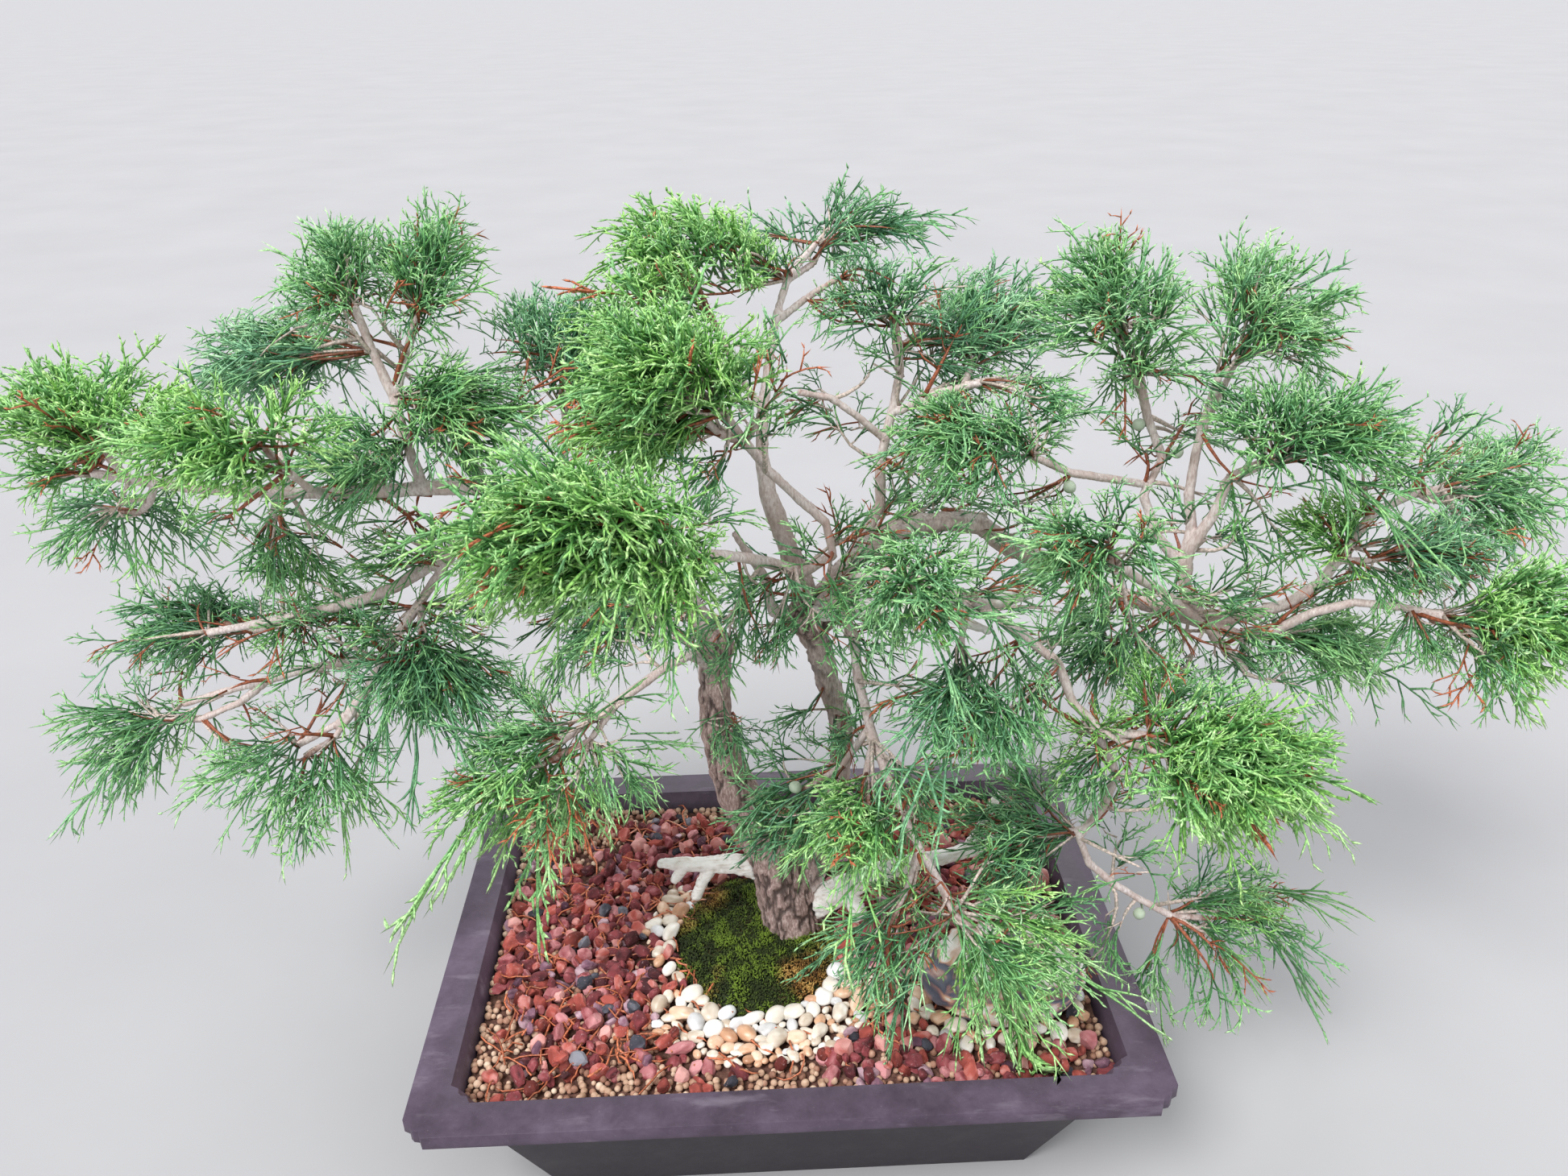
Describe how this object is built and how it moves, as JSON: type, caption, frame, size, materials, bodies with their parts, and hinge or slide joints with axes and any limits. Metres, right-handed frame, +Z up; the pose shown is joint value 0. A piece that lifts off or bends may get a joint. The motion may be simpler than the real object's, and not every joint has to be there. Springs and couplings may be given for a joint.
{
  "type": "bonsai tree in a pot",
  "caption": "Spreading juniper bonsai with thread-like foliage and bleached deadwood, growing from red gravel, moss and stones in a wide-rimmed rectangular dark pot.",
  "frame": {"origin": "middle of the pot's flat underside", "axes": "+Z up, +X along the pot's length, -Y the side the tree is seen from"},
  "size_m": [0.8029, 0.311, 0.5046],
  "materials": {
    "pot_plastic": "matte",
    "soil": "matte",
    "lava_gravel": "matte",
    "moss": "matte",
    "river_pebble": "satin",
    "striped_rock": "satin",
    "red_stone": "matte",
    "bark": "matte",
    "deadwood": "matte",
    "foliage": "satin"
  },
  "bodies": {
    "root": {"pot": "pot_plastic", "soil": "soil", "gravel_layer": "lava_gravel", "moss_patch": "moss", "pebble_ring": "river_pebble", "striped_rock": "striped_rock", "red_stone": "red_stone", "trunk": "bark", "leader_stem": "bark", "right_centre_branch": "bark", "arch_branch": "bark", "right_rising_branch": "bark", "right_outer_branch": "bark", "left_branch": "bark", "left_lower_branch": "bark", "low_left_twig": "bark", "front_branch": "bark", "low_right_branch": "bark", "low_front_branch": "bark", "left_deadwood": "deadwood", "right_deadwood": "deadwood", "upper_deadwood": "deadwood", "fan_left": "foliage", "fan_right": "foliage", "far_left_tip": "foliage", "left_bright": "foliage", "left_shoulder": "foliage", "left_inner": "foliage", "far_left_under": "foliage", "left_under": "foliage", "left_drop": "foliage", "low_left_tip": "foliage", "low_left_mid": "foliage", "left_near": "foliage", "low_left_front": "foliage", "front_centre": "foliage", "centre_dark": "foliage", "upper_left_back": "foliage", "upper_bright": "foliage", "upper_streak": "foliage", "top": "foliage", "top_front": "foliage", "upper_right": "foliage", "right_of_centre": "foliage", "right_fan_left": "foliage", "right_fan_right": "foliage", "right_upper": "foliage", "far_right_tip": "foliage", "right_inner": "foliage", "right_blue": "foliage", "far_right_bright": "foliage", "knot_front": "foliage", "centre_right": "foliage", "right_bright": "foliage", "hanging": "foliage", "low_bright": "foliage", "trunk_dark": "foliage", "low_front": "foliage", "over_rock": "foliage", "right_shade": "foliage"}
  },
  "joints": []
}
